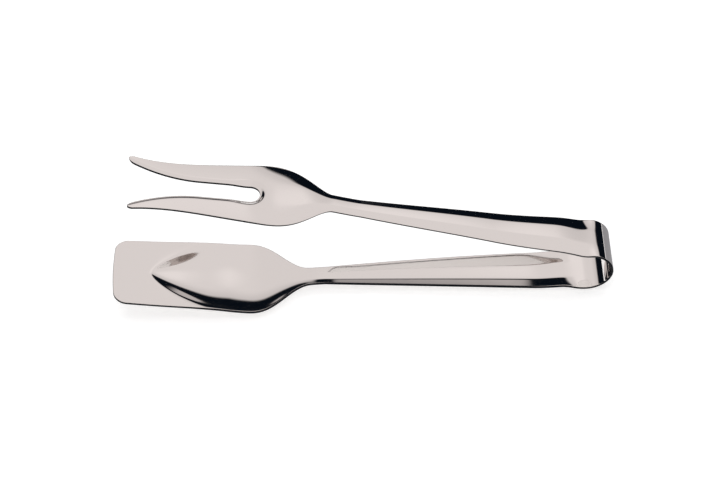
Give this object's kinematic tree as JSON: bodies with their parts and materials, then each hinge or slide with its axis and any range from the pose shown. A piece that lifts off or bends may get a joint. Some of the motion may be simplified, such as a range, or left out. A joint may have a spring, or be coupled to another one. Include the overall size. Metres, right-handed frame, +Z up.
{
  "type": "serving tongs",
  "caption": "Serving tongs bent from a strip of polished steel: a springy bow joins a wide spatula with a pressed bowl to a slotted fork with flared tines.",
  "frame": {"origin": "on the table, under the middle of the overall length, on the plane that halves the strip", "axes": "+X towards the back of the bow, with the heads towards -X; +Y across the strip; +Z up from the table, from the spatula arm to the fork arm"},
  "size_m": [0.21, 0.0374, 0.0696],
  "materials": {
    "polished_steel": "mirror polished stainless steel"
  },
  "bodies": {
    "spatula": {"spatula_arm": "polished_steel"},
    "bow": {"spring_bow": "polished_steel"},
    "fork": {"fork_arm": "polished_steel"}
  },
  "joints": [
    {"name": "lower_flex", "type": "hinge", "parent": "spatula", "child": "bow", "pos_m": [0.10061, 0, 0.00385], "axis": [0, -1, 0], "range_deg": [-2, 7.8], "stiffness_Nm_per_rad": 10, "springref_deg": -0.15},
    {"name": "upper_flex", "type": "hinge", "parent": "bow", "child": "fork", "pos_m": [0.10061, 0, 0.02035], "axis": [0, -1, 0], "range_deg": [-2, 7.8], "stiffness_Nm_per_rad": 10, "springref_deg": -0.15}
  ],
  "couplings": [
    {"joint": "upper_flex", "follows": "lower_flex", "ratio": 1}
  ]
}
